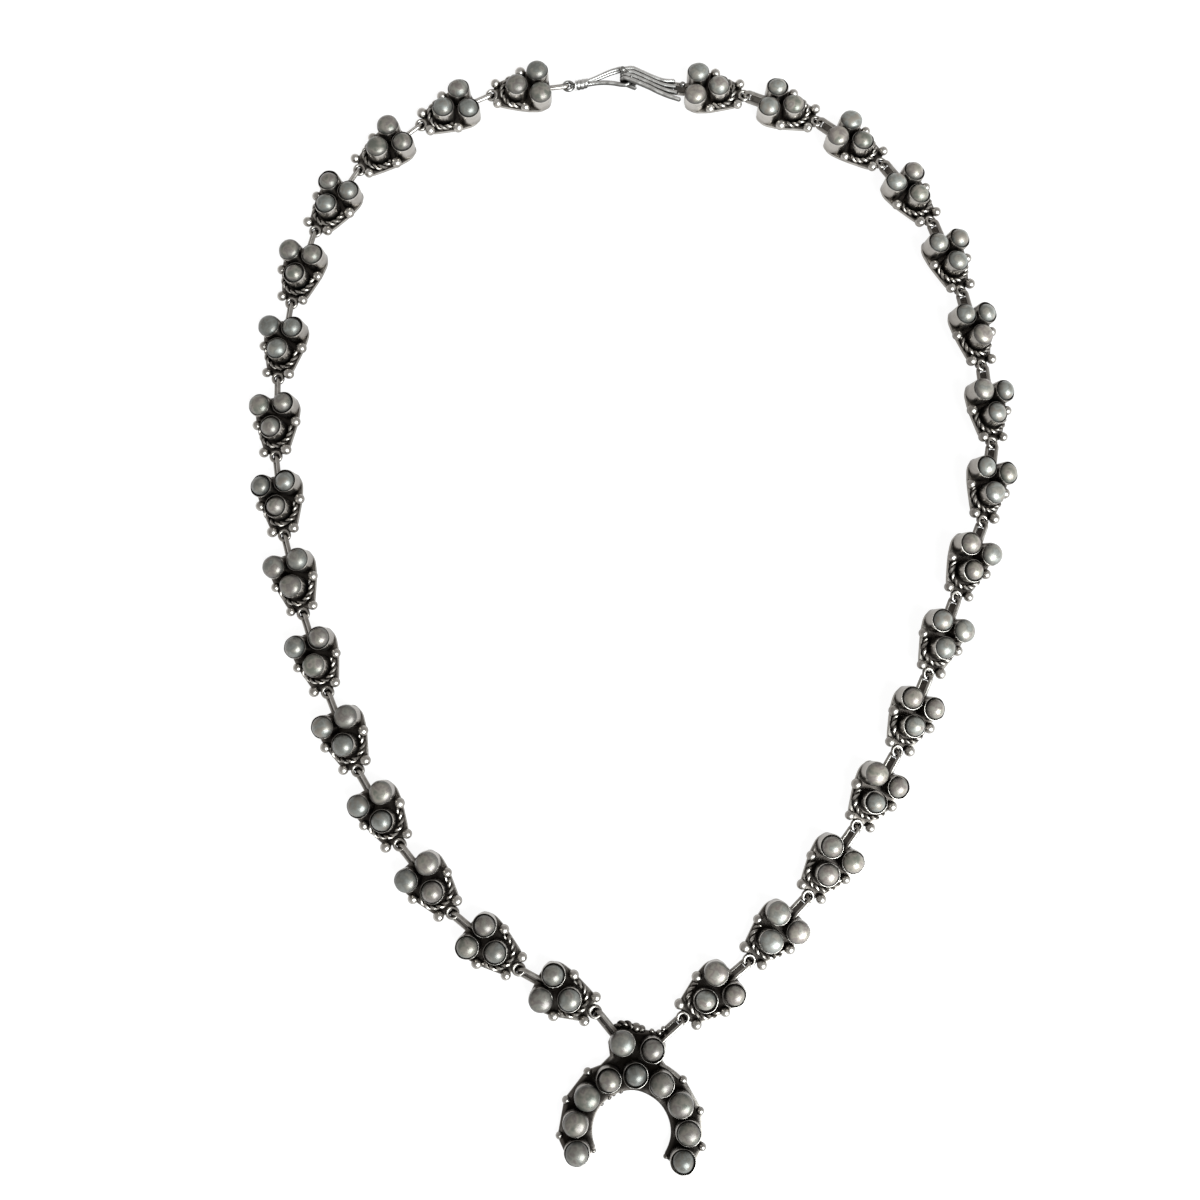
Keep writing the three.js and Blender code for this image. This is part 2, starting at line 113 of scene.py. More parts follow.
# Pendant, with the middle of the horseshoe at the origin, its crown towards +Y and its back at z = 0
NAJA_DROP = 17.85
NAJA_JOINT_SPAN = 13.56
NAJA_ARC_RADIUS = 9.1
NAJA_ARC_PEARLS = 9
NAJA_PEARL_ANGLE = 27.9
NAJA_INNER_RADIUS = 6.3
NAJA_OUTER_RADIUS = 11.4
NAJA_CORNER_RADIUS = 11.9  # of the plate's corners, under the granules
NAJA_ARM_ANGLE = 30
CROWN_PEARL_OUT = 2.45
CROWN_PEARL_RISE = 13.5
CROWN_SKEW = 0.35
NAJA_BEZEL_RADIUS = 2.08
NAJA_GRANULE_RADII = (0.62, 0.75)
NAJA_GRANULE_OUT = 0.2  # beyond the plate's outer edge
NAJA_PEARL_RADII = (1.9, 1.95, 2.05, 1.75, 1.7, 1.9, 1.95, 1.9, 1.75, 2.0, 1.7)

# Clasp, along +X from the eye's joint to the hook's joint
EYE_LENGTH = 12.0
EYE_HALF_WIDTH = 1.65
EYE_WIRE_RADIUS = 0.4
EYE_INNER_WIRE_RADIUS = 0.3
EYE_END_HEIGHT = 1.6
NECK_LENGTH = 2.8
NECK_RADIUS = 0.42
HOOP_START = 0.92
HOOP_RADIUS = 0.8
HOOP_WIRE_RADIUS = 0.18
SLEEVE_START = 1.15
SLEEVE_SIDES = 20
HOOK_LENGTH = 9.2
HOOK_PLAY = 0.95
HOOK_BEND_RADIUS = 1.05
HOOK_THICKNESS = 0.6
HOOK_FAN_REACH = 1.8
HOOK_FAN_HEIGHT = 2.3
HOOK_TIP_LENGTH = 1.5
KNOT_RADIUS = 0.55
CLASP_BOW = 1.8  # of its middle, away from the line between its joints
CAD_EYE_WIRE_RADIUS = 0.38

# Patina of the silver, and brightening near the clasp
HOLLOW_REACH = 1.2  # within which a hollow is darkened by its walls
CLASP_BRIGHTENING = 0.18  # added to the shade of the silver of the links near the clasp, to brighten it

# Floor
FLOOR_HALF = 1500
FLOOR_DROP = 0.05

# Camera
CAMERA_PLACE = (-0.0056, -0.0392, 0.2134)  # in metres
CAMERA_LOOK = (0.0, 0.1657, -0.9862)
CAMERA_LENS = 37.5
SENSOR_WIDTH = 36


# Shapes

class Shape:
    """Points in millimetres, each with a shade and a tone, and the faces between them."""

    def __init__(self):
        self.points = []
        self.shades = []
        self.tones = []
        self.faces = []
        self.count = 0

    def add(self, form, shade=0.5, tone=0.5):
        """Adds points and faces, the shade being one for all points or one for each."""
        points, faces = form
        self.points.append(np.asarray(points, float))
        self.shades.append(np.broadcast_to(shade, len(points)))
        self.tones.append(np.full(len(points), tone))
        self.faces.extend(tuple(self.count + i for i in face) for face in faces)
        self.count += len(points)

    def add_wire(self, form, low=0.2, high=0.75, sides=WIRE_SIDES):
        """Adds a round wire, with painted shade along its flanks and a painted highlight along its top.
        """
        self.add(form, painted_wire_shades(form, low, high, sides))

    def object(self, name, matrix, material, slot, *nodes):
        """The shape as a piece that rides on the root body and stands for the named nodes."""
        points = np.vstack(self.points) * MM
        matrix = np.array(matrix)
        points = points @ matrix[:3, :3].T + matrix[:3, 3]
        points[:, 2] = np.maximum(points[:, 2], 0)  # nothing dips under the ground
        mesh = bpy.data.meshes.new(name)
        mesh.from_pydata(points.tolist(), [], self.faces)
        mesh.polygons.foreach_set("use_smooth", [True] * len(mesh.polygons))
        mesh.set_sharp_from_angle(angle=math.radians(SHARP_ANGLE))
        for label, values in [("shade", self.shades), ("tone", self.tones)]:
            layer = mesh.attributes.new(label, "FLOAT", "POINT")
            layer.data.foreach_set("value", np.concatenate(values).astype(np.float32))
        mesh.materials.append(material)
        piece = bpy.data.objects.new(name, mesh)
        bpy.context.scene.collection.objects.link(piece)
        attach(piece, "root")
        if nodes:
            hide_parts(*nodes)
        return piece


def moved(form, x=0.0, y=0.0, z=0.0, turn=0.0):
    """A form turned about Z by so many degrees and then moved."""
    points, faces = form
    cos, sin = math.cos(math.radians(turn)), math.sin(math.radians(turn))
    points = np.asarray(points, float) @ np.array([[cos, sin, 0], [-sin, cos, 0], [0, 0, 1]])
    return points + np.array([x, y, z]), faces


def rolled(form, degrees):
    """A form turned about X."""
    points, faces = form
    cos, sin = math.cos(math.radians(degrees)), math.sin(math.radians(degrees))
    return np.asarray(points, float) @ np.array([[1, 0, 0], [0, cos, sin], [0, -sin, cos]]), faces


def leaned(form, degrees, towards):
    """A form whose top leans by so many degrees towards a direction in its plane."""
    points, faces = form
    angle = math.radians(towards)
    axis = Vector((-math.sin(angle), math.cos(angle), 0))
    turn = np.array(Matrix.Rotation(math.radians(degrees), 3, axis))
    return np.asarray(points, float) @ turn.T, faces


def lathe(profile, sides):
    """A form turned about Z from (radius, height) pairs that start and end on the axis."""
    angles = np.linspace(0, 2 * math.pi, sides, endpoint=False)
    rings = profile[1:-1]
    points = [[0, 0, profile[0][1]]]
    for radius, height in rings:
        points.extend([radius * math.cos(a), radius * math.sin(a), height] for a in angles)
    points.append([0, 0, profile[-1][1]])
    faces = [(0, 1 + (i + 1) % sides, 1 + i) for i in range(sides)]
    for k in range(len(rings) - 1):
        low, high = 1 + k * sides, 1 + (k + 1) * sides
        for i in range(sides):
            j = (i + 1) % sides
            faces.append((low + i, low + j, high + j, high + i))
    last = 1 + (len(rings) - 1) * sides
    faces.extend((last + i, last + (i + 1) % sides, len(points) - 1) for i in range(sides))
    return np.array(points), faces


def ball(radius, sides=GRANULE_SIDES, rings=GRANULE_RINGS, flat=1.0):
    """A round grain, its height a share of its width."""
    profile = []
    for k in range(rings + 1):
        angle = math.pi * k / rings - math.pi / 2
        profile.append((radius * math.cos(angle), flat * radius * math.sin(angle)))
    profile[0] = (0, -flat * radius)
    profile[-1] = (0, flat * radius)
    return lathe(profile, sides)


def tube(path, radii, sides=WIRE_SIDES, closed=False):
    """A round wire along a path, closed on itself or with domed ends."""
    path = np.asarray(path, float)
    count = len(path)
    radii = np.full(count, radii, float) if np.isscalar(radii) else np.asarray(radii, float)
    if closed:
        along = np.roll(path, -1, 0) - np.roll(path, 1, 0)
    else:
        along = np.gradient(path, axis=0)
    along /= np.linalg.norm(along, axis=1)[:, None]
    normal = np.cross(along[0], [0.0, 0.0, 1.0])
    if np.linalg.norm(normal) < 1e-3:
        normal = np.cross(along[0], [0.0, 1.0, 0.0])
    normals = []
    for direction in along:
        normal = normal - direction * (normal @ direction)
        normal = normal / np.linalg.norm(normal)
        normals.append(normal)
    normals = np.array(normals)
    sideways = np.cross(along, normals)
    if closed:
        last = normals[-1] - along[0] * (normals[-1] @ along[0])
        slip = math.atan2(last @ sideways[0], last @ normals[0])
        shares = np.arange(count) / count
        cos, sin = np.cos(-slip * shares)[:, None], np.sin(-slip * shares)[:, None]
        normals, sideways = normals * cos + sideways * sin, sideways * cos - normals * sin
    angles = np.linspace(0, 2 * math.pi, sides, endpoint=False)
    rings = (path[:, None] + radii[:, None, None]
             * (np.cos(angles)[None, :, None] * normals[:, None]
                + np.sin(angles)[None, :, None] * sideways[:, None]))
    points = rings.reshape(-1, 3)
    faces = []
    for k in range(count if closed else count - 1):
        low, high = k * sides, ((k + 1) % count) * sides
        for i in range(sides):
            j = (i + 1) % sides
            faces.append((low + i, low + j, high + j, high + i))
    if not closed:
        tips = [path[0] - 0.6 * radii[0] * along[0], path[-1] + 0.6 * radii[-1] * along[-1]]
        first, last = len(points), len(points) + 1
        points = np.vstack([points, tips])
        end = (count - 1) * sides
        for i in range(sides):
            j = (i + 1) % sides
            faces.append((first, j, i))
            faces.append((last, end + i, end + j))
    return points, faces


def arc(radius, start, stop, count, height=0.0):
    """Points of an arc about the origin, its ends in degrees."""
    angles = np.radians(np.linspace(start, stop, count))
    return np.stack([radius * np.cos(angles), radius * np.sin(angles), np.full(count, height)], 1)


def smooth_path(points, count):
    """A smooth path of so many points through the given ones."""
    points = np.asarray(points, float)
    padded = np.vstack([2 * points[0] - points[1], points, 2 * points[-1] - points[-2]])
    spans = len(points) - 1
    result = []
    for share in np.linspace(0, spans, count):
        k = min(int(share), spans - 1)
        t = share - k
        a, b, c, d = padded[k:k + 4]
        result.append(0.5 * (2 * b + (c - a) * t + (2 * a - 5 * b + 4 * c - d) * t ** 2
                             + (3 * b - a - 3 * c + d) * t ** 3))
    return np.array(result)


def rope(path, offset, twist, radius, strands=2, sides=8, phase=0.0):
    """Wires twisted round a path."""
    path = np.asarray(path, float)
    along = np.gradient(path, axis=0)
    along /= np.linalg.norm(along, axis=1)[:, None]
    up = np.array([0.0, 0.0, 1.0])
    across = np.cross(up, along)
    across /= np.linalg.norm(across, axis=1)[:, None]
    rise = np.cross(along, across)
    lengths = np.concatenate([[0], np.cumsum(np.linalg.norm(np.diff(path, axis=0), axis=1))])
    forms = []
    for strand in range(strands):
        angle = 2 * math.pi * (lengths / twist + strand / strands) + phase
        points = path + offset * (np.cos(angle)[:, None] * across + np.sin(angle)[:, None] * rise)
        forms.append(tube(points, radius, sides))
    return forms


def rounded(outline, rounds=2):
    """An outline with its corners cut back, a little more at each round."""
    points = np.asarray(outline, float)
    for _ in range(rounds):
        following = np.roll(points, -1, 0)
        points = np.stack([0.82 * points + 0.18 * following, 0.18 * points + 0.82 * following], 1)
        points = points.reshape(-1, 2)
    return points


def sheet(outline, thickness, edge=0.12, under=0.4, rim=0.5):
    """A plate between z = 0 and its thickness, cut back underneath, with the shade of its points."""
    outline = np.asarray(outline, float)
    before, after = np.roll(outline, 1, 0), np.roll(outline, -1, 0)
    along = after - before
    along /= np.linalg.norm(along, axis=1)[:, None]
    outward = np.stack([along[:, 1], -along[:, 0]], 1)
    area = np.sum(outline[:, 0] * after[:, 1] - after[:, 0] * outline[:, 1])
    if area < 0:
        outline, outward = outline[::-1], -outward[::-1]
    levels = [
        (under, 0.0, 0.3),
        (0.0, min(under, 0.6 * thickness), 0.35),
        (0.0, thickness - edge, 0.45),
        (0.3 * edge, thickness - 0.3 * edge, 0.65),
        (edge, thickness, 0.5),
        (edge + 0.4, thickness, rim),
        (edge + 0.75, thickness, 0.06),
    ]
    count = len(outline)
    points, shades = [], []
    for inset, height, shade in levels:
        ring = outline - inset * outward
        points.extend([x, y, height] for x, y in ring)
        shades.extend([shade] * count)
    faces = [tuple(reversed(range(count)))]
    for k in range(len(levels) - 1):
        for i in range(count):
            j = (i + 1) % count
            faces.append((k * count + i, k * count + j, (k + 1) * count + j, (k + 1) * count + i))
    top = (len(levels) - 1) * count
    faces.append(tuple(range(top, top + count)))
    return (np.array(points), faces), np.array(shades)


def by_height(form, *stops):
    """Shades of a form's points from (height, shade) pairs."""
    heights, shades = zip(*stops)
    return np.interp(form[0][:, 2], heights, shades)


def painted_wire_shades(form, low, high, sides):
    """Shades of a wire's points: painted shade along its flanks and a painted highlight along its top.
    """
    points = form[0]
    count = len(points) // sides
    rings = points[:count * sides].reshape(count, sides, 3)
    spokes = rings - rings.mean(1, keepdims=True)
    rise = spokes[:, :, 2] / np.linalg.norm(spokes, axis=2)
    # On the oxidised links these also stand for patina on the flanks and rubbed silver on the top
    shades = np.interp(rise, [-0.1, 0.55, 0.95], [low, 0.5 * (low + high), high]).ravel()
    return np.append(shades, np.full(len(points) - len(shades), low))


def uneven(form, random, amount, waves=4, pitch=2.0):
    """A form with its points shifted by a few long waves, as handwork is."""
    points, faces = form
    points = np.asarray(points, float).copy()
    for _ in range(waves):
        wave = random.normal(size=3) / pitch
        shift = random.normal(size=3)
        shift *= amount / np.linalg.norm(shift) / math.sqrt(waves)
        points += np.sin(points @ wave + random.uniform(0, 6.28))[:, None] * shift
    return points, faces


# Materials

def material(name):
    """A new material, its node tree and its shader."""
    made = bpy.data.materials.new(name)
    made.use_nodes = True
    tree = made.node_tree
    return made, tree, tree.nodes["Principled BSDF"]


def node(tree, kind, **settings):
    """A node with some of its inputs or properties set."""
    made = tree.nodes.new(kind)
    for key, value in settings.items():
        if key in made.inputs:
            made.inputs[key].default_value = value
        else:
            setattr(made, key, value)
    return made


def noise(tree, scale, detail):
    """Noise in the row's own frame, its scale in turns per metre."""
    place = node(tree, "ShaderNodeNewGeometry")
    made = node(tree, "ShaderNodeTexNoise")
    made.inputs["Scale"].default_value = scale
    made.inputs["Detail"].default_value = detail
    tree.links.new(place.outputs["Position"], made.inputs["Vector"])
    return made


def ramp(tree, source, stops):
    """A colour ramp from (position, colour) pairs."""
    made = node(tree, "ShaderNodeValToRGB")
    elements = made.color_ramp.elements
    while len(elements) < len(stops):
        elements.new(0.5)
    for element, (position, colour) in zip(elements, stops):
        element.position = position
        element.color = (*colour, 1.0)
    tree.links.new(source, made.inputs["Fac"])
    return made


def grey(value):
    return (value, value, value)


def combine(tree, operation, *values):
    """A math node from sockets and plain numbers."""
    made = node(tree, "ShaderNodeMath", operation=operation)
    for i, value in enumerate(values):
        if isinstance(value, (int, float)):
            made.inputs[i].default_value = value
        else:
            tree.links.new(value, made.inputs[i])
    return made.outputs[0]


def attribute(tree, name):
    """A number that the mesh keeps for each of its points."""
    return node(tree, "ShaderNodeAttribute", attribute_name=name).outputs["Fac"]


def roughen(tree, shader, scale, strength, depth):
    """Fine unevenness of the surface."""
    fine = noise(tree, scale, 3)
    bump = node(tree, "ShaderNodeBump")
    bump.inputs["Strength"].default_value = strength
    bump.inputs["Distance"].default_value = depth * MM
    tree.links.new(fine.outputs["Fac"], bump.inputs["Height"])
    tree.links.new(bump.outputs["Normal"], shader.inputs["Normal"])


def silver_material(name, roughness, uneven_share, stops):
    """Silver, near black in its hollows, rubbed bright where it stands proud, and carrying the painted
    highlights and shade of its points.
    """
    made, tree, shader = material(name)
    hollow = node(tree, "ShaderNodeAmbientOcclusion", samples=8)
    hollow.inputs["Distance"].default_value = HOLLOW_REACH * MM
    cloud = noise(tree, 900, 4).outputs["Fac"]
    # The points' shade carries patina and wear, and painted highlight and shade on wires
    worn_and_shaded = combine(tree, "MULTIPLY", attribute(tree, "shade"), hollow.outputs["AO"])
    worn_and_shaded = combine(tree, "MULTIPLY_ADD", worn_and_shaded, 0.8, combine(tree, "MULTIPLY", cloud, 0.2))
    colour = ramp(tree, worn_and_shaded, stops)
    tree.links.new(colour.outputs["Color"], shader.inputs["Base Color"])
    shader.inputs["Metallic"].default_value = 1.0
    polish = ramp(tree, cloud, [(0.3, grey(roughness - 0.05)), (0.7, grey(roughness + 0.1))])
    tree.links.new(polish.outputs["Color"], shader.inputs["Roughness"])
    roughen(tree, shader, 2600, uneven_share, 0.05)
    return made


def pearl_material():
    """Grey pearl, its overtone changing from stone to stone and a little over each, darkened where its
    points carry painted shade.
    """
    made, tree, shader = material("grey_pearl")
    cloud = noise(tree, 650, 2).outputs["Fac"]
    stone = combine(tree, "MULTIPLY_ADD", attribute(tree, "tone"), 0.7, -0.35)
    mixed = combine(tree, "MULTIPLY_ADD", cloud, 1.1, stone)
    overtone = ramp(tree, mixed, [
        (0.12, (0.19, 0.197, 0.164)),
        (0.3, (0.37, 0.338, 0.29)),
        (0.42, (0.243, 0.208, 0.195)),
        (0.55, (0.345, 0.33, 0.288)),
        (0.67, (0.23, 0.228, 0.207)),
        (0.8, (0.32, 0.333, 0.312)),
        (0.95, (0.28, 0.252, 0.217)),
    ])
    # Painted shade and reflection: the colour goes towards near black where the points' shade is low
    depth = node(tree, "ShaderNodeMix", data_type="RGBA")
    tree.links.new(attribute(tree, "shade"), depth.inputs["Factor"])
    depth.inputs[6].default_value = (0.035, 0.036, 0.034, 1)
    tree.links.new(overtone.outputs["Color"], depth.inputs[7])
    tree.links.new(depth.outputs[2], shader.inputs["Base Color"])
    shader.inputs["Metallic"].default_value = 0.4
    shader.inputs["Coat Weight"].default_value = 0.2
    shader.inputs["Coat Roughness"].default_value = 0.3
    gloss = ramp(tree, cloud, [(0.35, grey(0.33)), (0.65, grey(0.43))])
    tree.links.new(gloss.outputs["Color"], shader.inputs["Roughness"])
    roughen(tree, shader, 1100, 0.12, 0.06)
    return made


def floor_material():
    """White ground that takes hardly any shadow."""
    made, tree, shader = material("white_floor")
    cloud = noise(tree, 8, 2)
    tint = ramp(tree, cloud.outputs["Fac"], [(0.3, grey(0.14)), (0.7, grey(0.16))])
    tree.links.new(tint.outputs["Color"], shader.inputs["Base Color"])
    shader.inputs["Roughness"].default_value = 0.9
    shader.inputs["Specular IOR Level"].default_value = 0.1
    shader.inputs["Emission Color"].default_value = (1, 1, 1, 1)
    shader.inputs["Emission Strength"].default_value = 0.93
    return made


LINK_SILVER = silver_material("worn_and_shaded_silver", 0.3, 0.16, [
    (0.1, (0.032, 0.028, 0.025)),
    (0.25, (0.105, 0.094, 0.084)),
    (0.5, (0.32, 0.3, 0.275)),
    (0.75, (0.61, 0.585, 0.55)),
    (0.9, (0.87, 0.85, 0.82)),
])
NAJA_SILVER = silver_material("oxidised_silver", 0.3, 0.16, [
    (0.1, (0.016, 0.014, 0.012)),
    (0.25, (0.06, 0.053, 0.048)),
    (0.5, (0.25, 0.233, 0.213)),
    (0.75, (0.55, 0.53, 0.5)),
    (0.9, (0.85, 0.83, 0.8)),
])
POLISHED = silver_material("polished_silver", 0.36, 0.04, [
    (0.1, (0.012, 0.011, 0.01)),
    (0.3, (0.066, 0.063, 0.059)),
    (0.55, (0.25, 0.245, 0.235)),
    (0.85, (0.88, 0.87, 0.85)),
])
PEARL = pearl_material()


# Places of the nodes

def axes_matrix(along, across, up, origin):
    """Matrix of the frame with these X, Y and Z axes and this origin."""
    matrix = Matrix.Identity(4)
    for i, axis in enumerate([along, across, up, origin]):
        for j in range(3):
            matrix[j][i] = axis[j]
    return matrix


def flat_back(name):
    """Points of a node's back plate, and its normal away from the back."""
    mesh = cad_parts[name].data
    areas = {}
    for face in mesh.polygons:
        key = tuple(round(v, 2) for v in face.normal)
        areas[key] = areas.get(key, 0) + face.area
    chosen = Vector(max(areas, key=areas.get)).normalized()
    faces = [f for f in mesh.polygons if f.normal.dot(chosen) > 0.9999]
    normal = sum((f.normal * f.area for f in faces), Vector()).normalized()
    corners = {i for f in faces for i in f.vertices}
    points = np.array([mesh.vertices[i].co for i in corners])
    low = (points @ np.array(normal)).max() - 1e-5
    return points[points @ np.array(normal) > low], -normal


def link_frame(name):
    """Matrix of a link's own frame, found from its back plate and its length."""
    points, up = flat_back(name)
    up = np.array(up)
    points = np.unique(points.round(7), axis=0)
    middle = points.mean(0)
    spread = points - middle
    _, _, axes = np.linalg.svd(spread - np.outer(spread @ up, up))
    along = axes[0]
    across = np.cross(up, along)
    if np.sum(np.abs(spread @ across) * (spread @ along)) > 0:
        along, across = -along, -across
    every = np.array([v.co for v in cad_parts[name].data.vertices])
    reach = (every - middle) @ along
    start = (reach.min() + reach.max()) / 2 - LINK_PITCH * MM / 2
    return axes_matrix(along, across, up, middle + start * along)


def middle_of(name):
    """Middle of a node's box."""
    low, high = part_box(name)
    return (low + high) / 2


def naja_frame():
    """Matrix of the pendant's own frame, found from its pearls."""
    top = middle_of("naja_pearl_05")
    crown = (middle_of("naja_pearl_10") + middle_of("naja_pearl_11")) / 2
    up = (crown - top).xy.normalized()
    origin = top.xy - NAJA_ARC_RADIUS * MM * up
    return Matrix(((up.y, up.x, 0, origin.x), (-up.x, up.y, 0, origin.y), (0, 0, 1, 0), (0, 0, 0, 1)))


# Pieces

def bezel(random, radius, top):
    """A thin cup of silver, its lip pressed in and a little wavy, and the shade of its points."""
    base = PLATE_THICKNESS - 0.1
    inner = radius - BEZEL_WALL
    profile = [
        (0, base),
        (radius, base),
        (radius + 0.02, 0.5 * (base + top)),
        (radius, top - 0.3),
        (radius - 0.03, top - 0.1),
        (radius - 0.07, top - 0.01),
        (radius - 0.12, top),
        (inner, top - 0.06),
        (inner - 0.02, top - 0.5),
        (0, top - 0.9),
    ]
    form = lathe(profile, BEZEL_SIDES)
    shades = by_height(form, (base, 0.25), (base + 0.8, 0.42), (top - 0.2, 0.48), (top - 0.02, 0.64))
    points, faces = form
    shades[np.hypot(points[:, 0], points[:, 1]) < inner - 0.01] = 0.1
    angles = np.arctan2(points[:, 1], points[:, 0])
    phases = random.uniform(0, 6.28, 3)
    wave = (np.sin(2 * angles + phases[0]) + 0.6 * np.sin(3 * angles + phases[1])
            + 0.5 * np.sin(7 * angles + phases[2]))
    share = np.clip((points[:, 2] - base) / (top - base), 0, 1) ** 2
    points[:, 2] += 0.035 * wave * share
    points[:, :2] *= (1 + 0.009 * wave * share)[:, None]
    return (points, faces), shades


def pearl(random, radius, top, girdle):
    """A half pearl's dome, not quite round, from below its girdle up, and the painted shade of its
    points.
    """
    height = top - girdle
    profile = [(0, girdle + height * math.sin(math.radians(PEARL_LOW)))]
    for k in range(PEARL_RINGS):
        angle = math.radians(PEARL_LOW + (90 - PEARL_LOW) * k / PEARL_RINGS)
        profile.append((radius * math.cos(angle), girdle + height * math.sin(angle)))
    profile.append((0, top))
    form = lathe(profile, PEARL_SIDES)
    # Painted shade darkens the dome towards its girdle, and a painted reflection darkens its top a
    # little
    shares = [(0, 0.05), (0.3, 0.35), (0.6, 0.75), (0.8, 1.0), (0.93, 0.92), (1, 0.82)]
    shades = by_height(form, *[(girdle + up * height, shade) for up, shade in shares])
    return uneven(form, random, 0.08, pitch=1.4), shades


def set_pearl(metal, stones, random, x, y, bezel_radius, radius, light, lean=0.0, towards=0.0):
    """A bezel with its pearl, which overhangs the lip when it is wider than the bezel's mouth."""
    cup, cup_shades = bezel(random, bezel_radius, BEZEL_TOP)
    metal.add(moved(leaned(cup, lean, towards), x, y), cup_shades)
    mouth = bezel_radius - BEZEL_WALL
    shift = random.uniform(-0.5, 0.5, 2) * max(mouth - radius, 0.05)
    girdle = BEZEL_TOP + (0.02 if radius > mouth else -random.uniform(*PEARL_SINK))
    dome, painted_dome_shades = pearl(random, radius, DOME_TOP + random.uniform(*DOME_SPREAD), girdle)
    dome = leaned(moved(dome, *shift), lean, towards)
    # Painted light: the shade is scaled by the light painted on this side's pearls, and by a random
    # share for each stone
    painted_dome_shades = painted_dome_shades * light * random.uniform(*LIGHT_SPREAD)
    stones.add(moved(dome, x, y), painted_dome_shades, random.uniform(0, 1))


def link_outline():
    """Outline of a link's plate, broad round the two pearls and narrow at the ring."""
    radius = BEZEL_RADIUS / math.cos(math.radians(PLATE_CORNER_STEP / 2))

    def corner(degrees):
        angle = math.radians(degrees)
        return [PAIR_X + radius * math.cos(angle), PAIR_Y + radius * math.sin(angle)]

    half = [
        [PAIR_X - BEZEL_RADIUS, 0.7 * PAIR_Y],
        corner(85 + PLATE_CORNER_STEP),
        corner(85),
        [SINGLE_X - SIDE_LOBE_BACK, SIDE_LOBE_OUT],
        [LINK_PITCH - TIP_LOBE_BACK, TIP_LOBE_OUT],
        [RING_X - 0.5 * RING_RADIUS, RING_RADIUS + WIRE_RADIUS],
    ]
    return half + [[x, -y] for x, y in reversed(half)]


def grain(random, radius, flat=0.95):
    """A granule of silver, not quite round, and the shade of its points."""
    form = ball(radius, flat=flat)
    shades = by_height(form, (-0.4 * radius, 0.15), (0.2 * radius, 0.42), (0.8 * radius, 0.7))
    return uneven(form, random, 0.05), shades


def add_rope(shape, random, path, x=0.0, dim=1.0):
    """Twisted wire along a path, bright on its crests."""
    low, high = path[:, 2].mean() - 0.15, path[:, 2].mean() + STRAND_OFFSET + 0.6 * STRAND_RADIUS
    phase = random.uniform(0, 6.28)
    for strand in rope(path, STRAND_OFFSET, STRAND_TWIST, STRAND_RADIUS, phase=phase):
        shades = by_height(strand, (low, 0.08), (high - 0.14, 0.35), (high, 0.66))
        shape.add(moved(strand, x), dim * shades)


def ring():
    """The ring at a link's narrow end."""
    return rolled(tube(arc(RING_RADIUS, 0, 352, 45), WIRE_RADIUS, closed=True), RING_TILT)


def bail(length):
    """The loop at a link's broad end, with its two legs."""
    bend = arc(BAIL_RADIUS, 270, 90, 25)
    bend[:, 0] += BAIL_RADIUS - BAIL_OVERLAP
    legs = [[length, -BAIL_RADIUS, 0], [0.5 * length, -BAIL_RADIUS, 0]]
    far = [[0.5 * length, BAIL_RADIUS, 0], [length, BAIL_RADIUS, 0]]
    return rolled(tube(np.vstack([legs, bend, far]), BAIL_WIRE_RADIUS), BAIL_TILT)


def shade_web(length):
    """A dark sheet between a bail's legs, which stands in for the shade there."""
    half = [[SHADE_WEB_START, 0.25], [1.1, BAIL_RADIUS], [length, BAIL_RADIUS]]
    outline = half + [[x, -y] for x, y in reversed(half)]
    return rolled(moved(sheet(outline, SHADE_WEB_THICKNESS, 0.04, 0.04)[0], z=-SHADE_WEB_THICKNESS / 2), BAIL_TILT)


